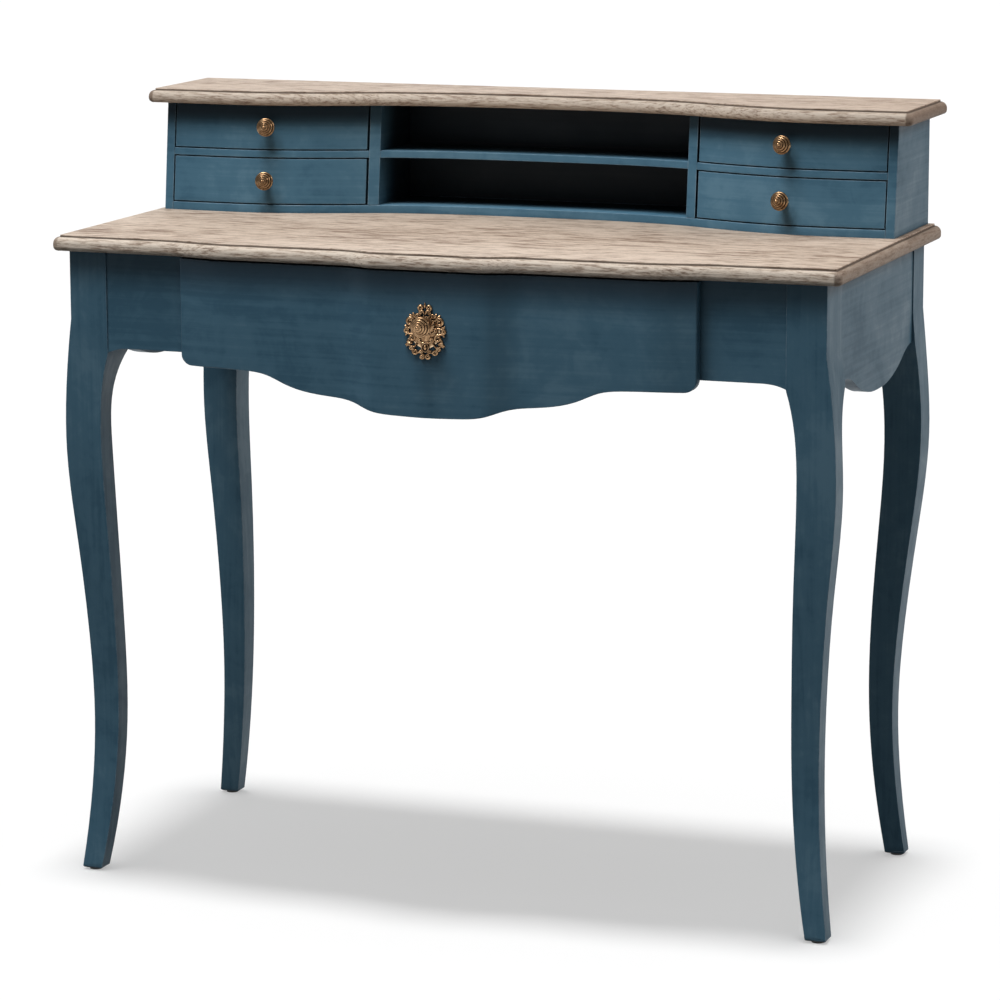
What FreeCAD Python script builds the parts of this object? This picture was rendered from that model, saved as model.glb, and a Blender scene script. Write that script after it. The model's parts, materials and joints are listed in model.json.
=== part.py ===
import FreeCAD
import Part
import os
from math import cos, pi, sin, sqrt

# Writing desk with a small drawer unit on its top, in millimetres.
# x runs to the right, y to the back and z up. Every piece is first laid out with y = 0 at the
# tabletop's back edge, and export() moves it so that the origin is under the middle of the desk.

# ---- driving dimensions ------------------------------------------------------------------------
WIDTH = 1002.4            # tabletop, side to side
TABLE_H = 809.5           # floor to the tabletop's upper face
TOP_T = 19.5              # thickness of the tabletop
SHELF_T = 18.0            # thickness of the top shelf
UNIT_H = 137.0            # drawer unit, between the tabletop and the top shelf
HOUSING = 0.5             # the unit is let into the tabletop by this much
SHELF_W = 1012.0          # top shelf, side to side
END_DEPTH = 466.0         # tabletop depth near its ends
SHOULDER = 14.0           # how much deeper it is over the drawer
LOBE = 13.0               # how much deeper again in the middle
NOSE_CORNER = 8.5         # corners of both boards, in plan
NOSE_TOP = 8.0            # rounding of the nosing, upper edge
NOSE_LOW = 5.5            # and lower edge
STEP = 2.5                # drop from the flat field to the rounded nosing
STEP_IN = 8.4             # distance of that step from the outer edge
FIELD_CORNER = 1.5        # corners of the field, in plan
FIELD_EASE = 0.8          # rounding of the field's edge

UNIT_W = 970.0            # drawer unit, over its side panels
UNIT_MID = 103.0          # its depth in the middle
UNIT_DIV = 123.0          # its depth at the dividers
UNIT_MAX = 170.0          # its depth at the deepest place of the bowed drawers
DIV_X = 206.0             # inner face of each divider
DIV_T = 13.0
BOW_X = 390.0             # where the bowed drawers are deepest
LEAN = 15.0               # the unit's front leans back by this over its height
SIDE_T = 11.5             # side panels of the unit
BASE_T = 10.0             # bottom board of the unit
RAIL_T = 9.0              # middle shelf and drawer rails
RAIL_Z = 70.0             # their underside, above the tabletop
PANEL_T = 6.0             # back panel
UNIT_BACK = -2.0          # back face of the unit

POST_W = 49.0             # leg posts, in x
POST_OUT = 482.0          # their outer face
POST_FRONT = -454.0       # front face of the front posts
POST_REAR = -8.0          # back face of the rear posts
FRONT_POST_D = 64.0
REAR_POST_D = 50.0
GLIDE_H = 2.5             # foot glides
GLIDE_R = 8.0
APRON_T = 18.0
APRON_Z = 671.0           # straight underside of the front and back aprons
SIDE_APRON_OUT = 480.5
APRON_FRONT = -452.0      # outer face of the front apron panels
LAP_Y = -36.0             # the side aprons lap over the rear posts up to here
BACK_APRON_Y = -12.0      # back face of the back apron
BLOCK_T = 22.0            # corner blocks, from the post's corner to their slanting face
BLOCK_H = 40.0
BLOCK_SCREW_X = 410.0     # screws through the blocks into the tabletop
BLOCK_SCREW_Y = (-414.0, -48.0)
BLOCK_SCREW_LEN = 50.0
BOLT_R = 3.0              # leg bolts
BOLT_Z = 770.0
BOLT_BITE = 22.0          # their length inside the post
BOLT_TAIL = 3.0           # and past the nut
NUT_R = 6.0
NUT_T = 4.5

DRAWER_HALF = 329.0       # half width of the wide drawer's front
OPENING_HALF = 322.0      # half width of the opening behind it
DRAWER_INSET = 4.0        # the drawer's face stands this far behind the tabletop's edge
DRAWER_TOP = 788.0
BOX_HALF = 318.0          # half width of the wide drawer's box
BOX_Z0 = 690.0
BOX_Z1 = 774.0
BOX_BACK = -62.0
BOX_T = 12.0
FRONT_BACK = APRON_FRONT - 0.5
FRONT_CORNER = 3.0        # upright corners of the wide drawer's front
LOW_CORNER = 15.0         # lower corners of its outline
LOW_Z = 657.6             # its straight lower edge, beside the hanging part
GROOVE = 5.0              # bottom board, above the lower edge of the box
RUNNER_UNDER = 12.0       # runners and kickers reach this far under and over the box
RUNNER_OUT = 28.0         # and this far out from its side
RUNNER_T = 13.5
RUNNER_SIDE = 1.5         # gap between a runner's upright part and the box
RUNNER_UP = 30.0
RUN_GAP = 0.5             # gap under the box
KICK_GAP = 3.0            # gap over the box

FRONT_T = 12.0            # small drawers
FACE_IN = 0.5             # their faces stand this far behind the frame
GAP = 1.5                 # visible gap around each small front
DIVIDER_GAP = 3.0         # the wider gap beside the dividers
KNOB_X = 344.0            # small knobs, from the middle of the desk
SMALL_T = 8.0
SMALL_BACK = -14.0
SMALL_LOW = 1.0           # gap under each small box
SMALL_HIGH = 9.0          # and the space over it
PLY_T = 4.0

KNOB_R = 11.8             # small knobs; the wide drawer's knob is slightly larger
KNOB_LEN = 25.2
BUTTON_R = 2.4            # round button at a knob's tip
MAIN_KNOB_SCALE = 1.05
MAIN_KNOB_Z = 725.0
PLATE_T = 2.5             # ornamental plate behind the wide drawer's knob
PLATE_R = (31.0, 26.0)    # half its height and half its width
PLATE_Z = 716.4
CREST_R = 8.0
CREST_Z = 744.4
SCREW_R = 2.0
HEAD_R = 4.0
HEAD_T = 2.0
KNOB_BITE = 9.0           # length of a screw inside its knob
CLEAR = 0.1               # clearance of screws in their holes
DOWEL_R = 3.0
DOWEL_LEN = 18.0
DOWEL_DEPTH = 10.0        # their length inside the panel below
DOWEL_Y = (-82.0, -30.0)
UNIT_SCREW_X = (-360.0, 360.0)
UNIT_SCREW_Y = (-130.0, -40.0)
UNIT_SCREW_BITE = 7.0     # their length inside the unit's bottom board

# ---- derived sizes -----------------------------------------------------------------------------
HALF = WIDTH / 2
TOP_Z0 = TABLE_H - TOP_T
SHELF_Z0 = TABLE_H + UNIT_H
SHELF_Z1 = SHELF_Z0 + SHELF_T
UNIT_HALF = UNIT_W / 2
PANEL_Y = UNIT_BACK - PANEL_T
POST_IN = POST_OUT - POST_W
FACE_MID = END_DEPTH + SHOULDER + LOBE - DRAWER_INSET
HALF_DEPTH = (FACE_MID + PLATE_T + KNOB_LEN * MAIN_KNOB_SCALE) / 2
SIDES = {"left": -1, "right": 1}

# Legs are band-sawn from two sides. Each row of a leg view is (height, outer edge, inner edge).
FRONT_LEG_X = ((90, 477.5, 447.0), (190, 472.5, 439.0), (300, 475.0, 438.5), (420, 484.0, 441.5),
               (545, 494.0, 446.0), (620, 491.5, 442.5))
FRONT_LEG_Y = ((90, -436.0, -410.5), (190, -431.5, -405.0), (300, -435.5, -408.0),
               (420, -443.5, -414.0), (545, -450.0, -418.0), (620, -452.0, -417.0))
REAR_LEG_X = ((90, 467.5, 439.5), (190, 462.5, 432.0), (300, 467.5, 432.0), (420, 480.0, 438.0),
              (545, 491.0, 443.5), (620, 488.5, 439.0))
REAR_LEG_Y = ((90, -22.0, -48.5), (190, -24.0, -54.5), (300, -18.0, -53.0), (420, -7.5, -46.5),
              (545, -1.0, -43.5), (620, -3.0, -47.5))
FRONT_FOOT = (487.5, 461.0, -444.5, -420.5)
REAR_FOOT = (477.5, 451.5, -17.0, -39.0)
SAWN_TOP = 705.0          # above this height a leg is a plain post
EAR_Z = 664.0             # where a leg's inner edge meets the aprons
FOOT_EASE = 3.0           # rounding under each foot

# Undersides: (distance from the middle, height), half of each symmetric outline.
SIDE_LOW_MID = (-212.0, 632.5)
SIDE_LOW = ((178, 659.5), (150, 666.5), (125, 661.5), (100, 650.5), (70, 640.5), (35, 634.0))
FRONT_LOW_MID = 613.5
FRONT_LOW = ((240, 656.5), (212, 652.5), (188, 642.5), (160, 634.5), (122, 630.0), (97, 626.0),
             (72, 618.0), (40, 614.5))
FRONT_LOW_END = 285.0     # the straight part starts here
SWEEP_X = (400.0, 415.0)  # the front aprons' underside turns down between these
SWEEP_DROP = 0.8
SWEEP_END = EAR_Z + 1.0


# ---- helpers -----------------------------------------------------------------------------------
def vec(x, y, z):
    return FreeCAD.Vector(x, y, z)


def box(x0, x1, y0, y1, z0, z1):
    return Part.makeBox(x1 - x0, y1 - y0, z1 - z0, vec(x0, y0, z0))


def rod(radius, length, start, direction):
    return Part.makeCylinder(radius, length, start, direction)


def line(a, b):
    return Part.LineSegment(vec(*a), vec(*b)).toShape()


def arc(a, b, c):
    return Part.Arc(vec(*a), vec(*b), vec(*c)).toShape()


def spline(points, start=None, end=None):
    curve = Part.BSplineCurve()
    if start is None:
        curve.interpolate([vec(*p) for p in points])
    else:
        curve.interpolate([vec(*p) for p in points], InitialTangent=vec(*start), FinalTangent=vec(*end))
    return curve.toShape()


def slab(edges, travel):
    """Solid made by moving a flat closed outline along a vector."""
    return Part.Face(Part.Wire(edges)).extrude(vec(*travel))


def spread(a, b, count):
    return [a + (b - a) * i / (count - 1) for i in range(count)]


def mirrored(shape):
    return shape.mirror(vec(0, 0, 0), vec(1, 0, 0))


def on_side(shape, side):
    return shape if SIDES[side] > 0 else mirrored(shape)


def place_on(shape, point, way):
    shape.Placement = FreeCAD.Placement(point, FreeCAD.Rotation(vec(0, 0, 1), way))
    return shape


def smooth(t):
    t = min(max(t, 0.0), 1.0)
    return t * t * (3.0 - 2.0 * t)


def export(shape, name):
    shape = shape.copy()
    shape.translate(vec(0, HALF_DEPTH, 0))
    shape.exportStep("parts/" + name + ".step")
    print(name, len(shape.Solids), round(shape.Volume), shape.isValid())


# ---- plan curves -------------------------------------------------------------------------------
def top_depth(x):
    """Serpentine front of the tabletop: flat ends, a shoulder and a middle lobe."""
    x = abs(x)
    return END_DEPTH + SHOULDER * smooth((355 - x) / 90) + LOBE * smooth((115 - x) / 50)


def unit_depth(x):
    """Front of the drawer unit: hollow in the middle, bowed over the drawers."""
    x = abs(x)
    if x < DIV_X:
        return UNIT_MID + (UNIT_DIV - UNIT_MID) * (x / DIV_X) ** 3
    if x < BOW_X:
        return UNIT_DIV + (UNIT_MAX - UNIT_DIV) * sin(pi / 2 * (x - DIV_X) / (BOW_X - DIV_X))
    return UNIT_MAX - 3 * ((x - BOW_X) / (UNIT_HALF - BOW_X)) ** 2


def shelf_depth(x):
    return unit_depth(min(abs(x), BOW_X)) + 2


def lean_at(z):
    return LEAN * (z - TABLE_H) / UNIT_H


# ---- tabletop and top shelf --------------------------------------------------------------------
def board_layer(depth, half, inset, corner, z0, z1):
    """One layer of a moulded board, its outline moved in from the outer edge by inset."""
    w = half - inset
    x1 = w - corner
    y1 = inset - depth(x1)
    k = corner * (1 - cos(pi / 4))
    xs = spread(-x1, x1, 41)
    front = spline([(x, inset - depth(x), z0) for x in xs], (1, 0, 0), (1, 0, 0))
    edges = [line((-w, 0, z0), (-w, y1 + corner, z0)),
             arc((-w, y1 + corner, z0), (-w + k, y1 + k, z0), (-x1, y1, z0)),
             front,
             arc((x1, y1, z0), (w - k, y1 + k, z0), (w, y1 + corner, z0)),
             line((w, y1 + corner, z0), (w, 0, z0)),
             line((w, 0, z0), (-w, 0, z0))]
    return slab(edges, (0, 0, z1 - z0))


def edges_at(shape, z):
    """Edges of the outline at height z, apart from the straight back edge."""
    found = []
    for e in shape.Edges:
        b = e.BoundBox
        if abs(b.ZMin - z) < 1e-4 and abs(b.ZMax - z) < 1e-4 and b.YMin < -1e-3:
            found.append(e)
    return found


def moulded_board(depth, half, z0, z1):
    """Board with a flat field, a small step down and a rounded nosing on three edges."""
    nose = board_layer(depth, half, 0, NOSE_CORNER, z0, z1 - STEP)
    nose = nose.makeFillet(NOSE_TOP, edges_at(nose, z1 - STEP))
    nose = nose.makeFillet(NOSE_LOW, edges_at(nose, z0))
    field = board_layer(depth, half, STEP_IN, FIELD_CORNER, z0 + STEP, z1)
    field = field.makeFillet(FIELD_EASE, edges_at(field, z1))
    return nose.fuse(field).removeSplitter()


# ---- legs --------------------------------------------------------------------------------------
def leg_view(rows, foot_out, foot_in, top_out, top_in, plane):
    """Closed outline of one view of a leg. plane(edge, height) gives the point in space."""
    outer = [plane(foot_out, GLIDE_H)]
    inner = [plane(foot_in, GLIDE_H)]
    for z, a, b in rows:
        outer.append(plane(a, z))
        inner.append(plane(b, z))
    outer.append(plane(top_out, SAWN_TOP))
    inner.append(plane(top_in, EAR_Z))
    return [spline(outer),
            line(plane(top_out, SAWN_TOP), plane(top_out, TOP_Z0)),
            line(plane(top_out, TOP_Z0), plane(top_in, TOP_Z0)),
            line(plane(top_in, TOP_Z0), plane(top_in, EAR_Z)),
            spline(inner[::-1]),
            line(plane(foot_in, GLIDE_H), plane(foot_out, GLIDE_H))]


def sawn_leg(view_x, view_y, foot, post_y, post_d):
    """Right-hand leg: what is left of the blank after both views are sawn."""
    front = leg_view(view_x, foot[0], foot[1], POST_OUT, POST_IN, lambda v, z: (v, -600, z))
    side = leg_view(view_y, foot[2], foot[3], post_y, post_y + post_d, lambda v, z: (400, v, z))
    return slab(front, (0, 700, 0)).common(slab(side, (200, 0, 0)))


def round_foot(leg):
    low = [e for e in leg.Edges if e.BoundBox.ZMax < GLIDE_H + 0.01]
    return leg.makeFillet(FOOT_EASE, low)


# ---- aprons, rails and blocks ------------------------------------------------------------------
def side_apron():
    """Right-hand side apron, with its hanging lobe between two small arches."""
    y_mid, z_mid = SIDE_LOW_MID
    y0 = POST_FRONT + FRONT_POST_D
    x0 = SIDE_APRON_OUT - APRON_T
    low = [(y_mid - d, z) for d, z in SIDE_LOW] + [(y_mid, z_mid)]
    low += [(y_mid + d, z) for d, z in SIDE_LOW[::-1]]
    low[0] = (y0, low[0][1])
    low[-1] = (LAP_Y, low[-1][1])
    edges = [spline([(x0, y, z) for y, z in low]),
             line((x0, LAP_Y, low[-1][1]), (x0, LAP_Y, TOP_Z0)),
             line((x0, LAP_Y, TOP_Z0), (x0, y0, TOP_Z0)),
             line((x0, y0, TOP_Z0), (x0, y0, low[0][1]))]
    return slab(edges, (APRON_T, 0, 0))


def front_apron():
    """Right-hand front apron panel, whose underside sweeps down into the leg."""
    y = APRON_FRONT
    start, turn = SWEEP_X
    low = [(start, y, APRON_Z), (turn, y, APRON_Z - SWEEP_DROP), (POST_IN, y, SWEEP_END)]
    edges = [line((OPENING_HALF, y, APRON_Z), (start, y, APRON_Z)),
             spline(low, (1, 0, 0), (0.9, 0, -0.44)),
             line((POST_IN, y, SWEEP_END), (POST_IN, y, TOP_Z0)),
             line((POST_IN, y, TOP_Z0), (OPENING_HALF, y, TOP_Z0)),
             line((OPENING_HALF, y, TOP_Z0), (OPENING_HALF, y, APRON_Z))]
    return slab(edges, (0, APRON_T, 0))


def post_corner(front):
    """Inner corner of a right-hand post at bolt height, and the bolt's direction into it."""
    if front:
        return vec(POST_IN, POST_FRONT + FRONT_POST_D, BOLT_Z), vec(1, -1, 0).normalize()
    return vec(POST_IN, POST_REAR - REAR_POST_D, BOLT_Z), vec(1, 1, 0).normalize()


def corner_block(front):
    """Block that hugs the inner corner of a right-hand post, with a face square to the bolt."""
    corner = post_corner(front)[0]
    turn = -1 if front else 1
    wall = APRON_FRONT + APRON_T if front else BACK_APRON_Y - APRON_T
    inner_x = SIDE_APRON_OUT - APRON_T
    reach = BLOCK_T * sqrt(2)
    near_x = POST_IN - turn * (wall - corner.y) - reach
    far_y = corner.y - turn * (inner_x - POST_IN + reach)
    plan = [(near_x, wall), (POST_IN, wall), (POST_IN, corner.y), (inner_x, corner.y), (inner_x, far_y)]
    points = [(x, y, TOP_Z0 - BLOCK_H) for x, y in plan]
    edges = [line(a, b) for a, b in zip(points, points[1:] + points[:1])]
    return slab(edges, (0, 0, BLOCK_H))


def bolt_shank(front, radius):
    corner, way = post_corner(front)
    tail = BLOCK_T + NUT_T + BOLT_TAIL
    return rod(radius, tail + BOLT_BITE, corner - way * tail, way)


def leg_bolt(front):
    """Stud through a corner block into the post, with its nut on the slanting face."""
    corner, way = post_corner(front)
    ring = [vec(NUT_R * cos(i * pi / 3), NUT_R * sin(i * pi / 3), 0) for i in range(7)]
    nut = Part.Face(Part.makePolygon(ring)).extrude(vec(0, 0, NUT_T))
    nut = place_on(nut, corner - way * (BLOCK_T + NUT_T), way)
    return bolt_shank(front, BOLT_R).fuse(nut).removeSplitter()


def screw(foot, way, length):
    """Round-headed screw: foot is under the head, way points to the tip."""
    head = rod(HEAD_R, HEAD_T, foot - way * HEAD_T, way)
    return rod(SCREW_R, length, foot, way).fuse(head).removeSplitter()


def screw_hole(foot, way, length):
    return rod(SCREW_R + CLEAR, length + CLEAR, foot, way)


# ---- drawer unit -------------------------------------------------------------------------------
def unit_front(x0, x1, z, skin):
    """Plan curve of the unit's leaning face at height z, moved back by skin."""
    count = max(3, int((x1 - x0) / 16))
    return [(x, skin + lean_at(z) - unit_depth(x), z) for x in spread(x0, x1, count)]


def unit_block(x0, x1, z0, z1, skin, back):
    """Block behind the unit's leaning face, cut off by a flat upright back."""
    pts = unit_front(x0, x1, z0, skin)
    far = 80.0
    edges = [spline(pts),
             line(pts[-1], (x1, far, z0)),
             line((x1, far, z0), (x0, far, z0)),
             line((x0, far, z0), pts[0])]
    block = slab(edges, (0, lean_at(z1) - lean_at(z0), z1 - z0))
    return block.common(box(x0 - 1, x1 + 1, -400, back, z0 - 1, z1 + 1))


def face_board(x0, x1, z0, z1):
    """Curved, leaning front of a small drawer."""
    near = unit_front(x0, x1, z0, FACE_IN)
    far = unit_front(x0, x1, z0, FACE_IN + FRONT_T)
    edges = [spline(near), line(near[-1], far[-1]), spline(far[::-1]), line(far[0], near[0])]
    return slab(edges, (0, lean_at(z1) - lean_at(z0), z1 - z0))


def face_axis(x, z):
    """Point on a small drawer's face and the direction square to it, out of the face."""
    slope = unit_depth(x + 0.5) - unit_depth(x - 0.5)
    way = vec(-slope, -1, LEAN / UNIT_H).normalize()
    return vec(x, FACE_IN + lean_at(z) - unit_depth(x), z), way


# ---- knobs -------------------------------------------------------------------------------------
def knob_shape(size):
    """Stepped knob turned from four rounded rings and a button, standing on +Z."""
    def at(r, z):
        return (r * size, 0, z * size)

    bead = 1.2
    rings = [(1.0, 12.0, 15.2), (0.8, 15.2, 18.0), (0.6, 18.0, 20.5), (0.4, 20.5, KNOB_LEN - BUTTON_R)]
    r = KNOB_R - bead
    edges = [line(at(0, 0), at(6.2, 0)),
             arc(at(6.2, 0), at(4.6, 4.5), at(6.0, 9.0)),
             line(at(6.0, 9.0), at(r, 12.0))]
    for share, z0, z1 in rings:
        ring_r = KNOB_R * share - bead
        if ring_r < r:
            edges.append(line(at(r, z0), at(ring_r, z0)))
            r = ring_r
        edges.append(arc(at(r, z0), at(r + bead, (z0 + z1) / 2), at(r, z1)))
    top = KNOB_LEN - BUTTON_R
    half_way = BUTTON_R * sin(pi / 4)
    edges.append(line(at(r, top), at(BUTTON_R, top)))
    edges.append(arc(at(BUTTON_R, top), at(half_way, top + half_way), at(0, KNOB_LEN)))
    edges.append(line(at(0, KNOB_LEN), at(0, 0)))
    knob = Part.Face(Part.Wire(edges)).revolve(vec(0, 0, 0), vec(0, 0, 1), 360)
    return knob.cut(rod(SCREW_R + CLEAR, 11, vec(0, 0, -1), vec(0, 0, 1)))


# ---- the pieces --------------------------------------------------------------------------------
def build_legs(pieces):
    apron = side_apron()
    for place, front in (("front", True), ("rear", False)):
        if front:
            leg = sawn_leg(FRONT_LEG_X, FRONT_LEG_Y, FRONT_FOOT, POST_FRONT, FRONT_POST_D)
        else:
            leg = sawn_leg(REAR_LEG_X, REAR_LEG_Y, REAR_FOOT, POST_REAR, -REAR_POST_D)
            leg = leg.cut(apron)
        leg = round_foot(leg).cut(bolt_shank(front, BOLT_R + CLEAR))
        for side in SIDES:
            pieces[side + "_" + place + "_leg"] = on_side(leg, side)
    for side in SIDES:
        pieces[side + "_apron"] = on_side(apron, side)
        pieces[side + "_front_apron"] = on_side(front_apron(), side)
    pieces["back_apron"] = box(-POST_IN, POST_IN, BACK_APRON_Y - APRON_T, BACK_APRON_Y, APRON_Z, TOP_Z0)


def build_rails(pieces):
    y0 = APRON_FRONT
    y1 = APRON_FRONT + APRON_T
    y2 = BACK_APRON_Y - APRON_T
    x0 = BOX_HALF - RUNNER_UNDER
    x1 = BOX_HALF + RUNNER_OUT
    kick_z = BOX_Z1 + KICK_GAP
    run_z1 = BOX_Z0 - RUN_GAP
    run_z0 = run_z1 - RUNNER_T
    pieces["front_top_rail"] = box(-OPENING_HALF, OPENING_HALF, y0, y1, kick_z, TOP_Z0)
    pieces["front_bottom_rail"] = box(-OPENING_HALF, OPENING_HALF, y0, y1, APRON_Z, run_z1 - RUN_GAP)
    runner = box(x0, x1, y1, y2, run_z0, run_z1)
    runner = runner.fuse(box(BOX_HALF + RUNNER_SIDE, x1, y1, y2, run_z0, BOX_Z0 + RUNNER_UP))
    kicker = box(x0, x1, y1, y2, kick_z, TOP_Z0)
    for side in SIDES:
        pieces[side + "_runner"] = on_side(runner.removeSplitter(), side)
    pieces["kickers"] = Part.makeCompound([kicker, mirrored(kicker)])


def build_blocks(pieces):
    """Corner blocks, leg bolts and the screws that hold the tabletop down."""
    up = vec(0, 0, 1)
    blocks, bolts, screws = [], [], []
    for front, y in zip((True, False), BLOCK_SCREW_Y):
        foot = vec(BLOCK_SCREW_X, y, TOP_Z0 - BLOCK_H)
        hole = screw_hole(foot, up, BLOCK_SCREW_LEN)
        block = corner_block(front).cut(bolt_shank(front, BOLT_R + CLEAR)).cut(hole)
        pair = ((blocks, block), (bolts, leg_bolt(front)), (screws, screw(foot, up, BLOCK_SCREW_LEN)))
        for group, shape in pair:
            group += [shape, mirrored(shape)]
        pieces["tabletop"] = pieces["tabletop"].cut(hole).cut(mirrored(hole))
    pieces["corner_blocks"] = Part.makeCompound(blocks)
    pieces["leg_bolts"] = Part.makeCompound(bolts)
    pieces["tabletop_screws"] = Part.makeCompound(screws)


def build_unit_screws(pieces):
    """Screws up through the tabletop into the unit's bottom board."""
    up = vec(0, 0, 1)
    length = TOP_T + UNIT_SCREW_BITE
    feet = [vec(x, y, TOP_Z0) for x in UNIT_SCREW_X for y in UNIT_SCREW_Y]
    for foot in feet:
        hole = screw_hole(foot, up, length)
        for name in ("tabletop", "unit_bottom_board"):
            pieces[name] = pieces[name].cut(hole)
    pieces["unit_screws"] = Part.makeCompound([screw(foot, up, length) for foot in feet])


def build_dowels(pieces):
    """Dowels between the top shelf and the unit's four upright panels."""
    up = vec(0, 0, 1)
    side_x = UNIT_HALF - SIDE_T / 2
    divider_x = DIV_X + DIV_T / 2
    dowels = []
    for name, x in (("left_unit_side", -side_x), ("right_unit_side", side_x),
                    ("left_divider", -divider_x), ("right_divider", divider_x)):
        for y in DOWEL_Y:
            foot = vec(x, y, SHELF_Z0 - DOWEL_DEPTH)
            hole = rod(DOWEL_R + CLEAR, DOWEL_LEN + CLEAR, foot, up)
            dowels.append(rod(DOWEL_R, DOWEL_LEN, foot, up))
            pieces[name] = pieces[name].cut(hole)
            pieces["top_shelf"] = pieces["top_shelf"].cut(hole)
    pieces["shelf_dowels"] = Part.makeCompound(dowels)


def build_glides(pieces):
    glides = []
    for x0, x1, y0, y1 in (FRONT_FOOT, REAR_FOOT):
        glide = rod(GLIDE_R, GLIDE_H, vec((x0 + x1) / 2, (y0 + y1) / 2, 0), vec(0, 0, 1))
        glides += [glide, mirrored(glide)]
    pieces["foot_glides"] = Part.makeCompound(glides)


def build_unit(pieces):
    """Panels and boards of the drawer unit, without its drawers."""
    inner = UNIT_HALF - SIDE_T
    foot = TABLE_H - HOUSING
    z0 = TABLE_H + BASE_T
    rail_z0 = TABLE_H + RAIL_Z
    rail_z1 = rail_z0 + RAIL_T
    unit_side = unit_block(inner, UNIT_HALF, foot, SHELF_Z0, 0, UNIT_BACK)
    divider = unit_block(DIV_X, DIV_X + DIV_T, z0, SHELF_Z0, 0, PANEL_Y)
    rail = unit_block(DIV_X + DIV_T, inner, rail_z0, rail_z1, 0, PANEL_Y)
    for side in SIDES:
        pieces[side + "_unit_side"] = on_side(unit_side, side)
        pieces[side + "_divider"] = on_side(divider, side)
        pieces[side + "_drawer_rail"] = on_side(rail, side)
    pieces["unit_bottom_board"] = unit_block(-inner, inner, foot, z0, 0, UNIT_BACK)
    pieces["middle_shelf"] = unit_block(-DIV_X, DIV_X, rail_z0, rail_z1, 0, PANEL_Y)
    pieces["unit_back_panel"] = box(-inner, inner, PANEL_Y, UNIT_BACK, z0, SHELF_Z0)


def build_boards(pieces):
    """Tabletop, with the shallow housing for the unit run out at the back, and top shelf."""
    tabletop = moulded_board(top_depth, HALF, TOP_Z0, TABLE_H)
    tabletop = tabletop.cut(box(-UNIT_HALF, UNIT_HALF, UNIT_BACK, 1, TABLE_H - HOUSING, TABLE_H + 1))
    for name in ("unit_bottom_board", "left_unit_side", "right_unit_side"):
        tabletop = tabletop.cut(pieces[name])
    pieces["tabletop"] = tabletop
    pieces["top_shelf"] = moulded_board(shelf_depth, SHELF_W / 2, SHELF_Z0, SHELF_Z1)


def build_small_drawer(pieces, name, side, z0, z1):
    """One small drawer, laid out on the right and mirrored where it belongs on the left."""
    x0 = DIV_X + DIV_T + DIVIDER_GAP
    x1 = UNIT_HALF - SIDE_T - GAP
    point, way = face_axis(KNOB_X, (z0 + z1) / 2)
    depth = FRONT_T + 2 * CLEAR
    foot = point - way * depth
    front = face_board(x0, x1, z0 + GAP, z1 - GAP)
    front = front.cut(screw_hole(foot - way * depth, way, 3 * depth))
    bz0 = z0 + SMALL_LOW
    bz1 = z1 - SMALL_HIGH
    skin = FACE_IN + FRONT_T
    inner = unit_block(x0, x0 + SMALL_T, bz0, bz1, skin, SMALL_BACK)
    outer = unit_block(x1 - SMALL_T, x1, bz0, bz1, skin, SMALL_BACK)
    back = box(x0 + SMALL_T, x1 - SMALL_T, SMALL_BACK - SMALL_T, SMALL_BACK, bz0, bz1)
    bottom = unit_block(x0 + SMALL_T, x1 - SMALL_T, bz0, bz0 + PLY_T, skin, SMALL_BACK - SMALL_T)
    knob = place_on(knob_shape(1), point, way)
    shank = screw(foot, way, depth + KNOB_BITE)
    pieces[name + "_front"] = on_side(front, side)
    pieces[name + "_sides"] = on_side(Part.makeCompound([inner, outer]), side)
    pieces[name + "_back"] = on_side(back, side)
    pieces[name + "_bottom"] = on_side(bottom, side)
    pieces[name + "_knob"] = on_side(Part.makeCompound([knob, shank]), side)


def main_face(x):
    return DRAWER_INSET - top_depth(x)


def front_plan():
    """Wide drawer's front from above: a serpentine face, rounded corners and a flat back."""
    h = DRAWER_HALF
    r = FRONT_CORNER
    k = r * (1 - cos(pi / 4))
    y1 = main_face(h - r)
    face = [(x, main_face(x), 0) for x in spread(r - h, h - r, 35)]
    return [line((-h, FRONT_BACK, 0), (-h, y1 + r, 0)),
            arc((-h, y1 + r, 0), (k - h, y1 + k, 0), (r - h, y1, 0)),
            spline(face),
            arc((h - r, y1, 0), (h - k, y1 + k, 0), (h, y1 + r, 0)),
            line((h, y1 + r, 0), (h, FRONT_BACK, 0)),
            line((h, FRONT_BACK, 0), (-h, FRONT_BACK, 0))]


def front_view():
    """Its outline from the front: straight top and a hanging double-ogee lower edge."""
    def at(x, z):
        return (x, -END_DEPTH - 100, z)

    h = DRAWER_HALF
    c = LOW_CORNER
    m = c * (1 - cos(pi / 4))
    z1 = LOW_Z
    low = [at(c - h, z1), at(-FRONT_LOW_END, z1)] + [at(-x, z) for x, z in FRONT_LOW]
    low += [at(0, FRONT_LOW_MID)] + [at(x, z) for x, z in FRONT_LOW[::-1]]
    low += [at(FRONT_LOW_END, z1), at(h - c, z1)]
    return [line(at(-h, DRAWER_TOP), at(-h, z1 + c)),
            arc(at(-h, z1 + c), at(m - h, z1 + m), at(c - h, z1)),
            spline(low),
            arc(at(h - c, z1), at(h - m, z1 + m), at(h, z1 + c)),
            line(at(h, z1 + c), at(h, DRAWER_TOP)),
            line(at(h, DRAWER_TOP), at(-h, DRAWER_TOP))]


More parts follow.
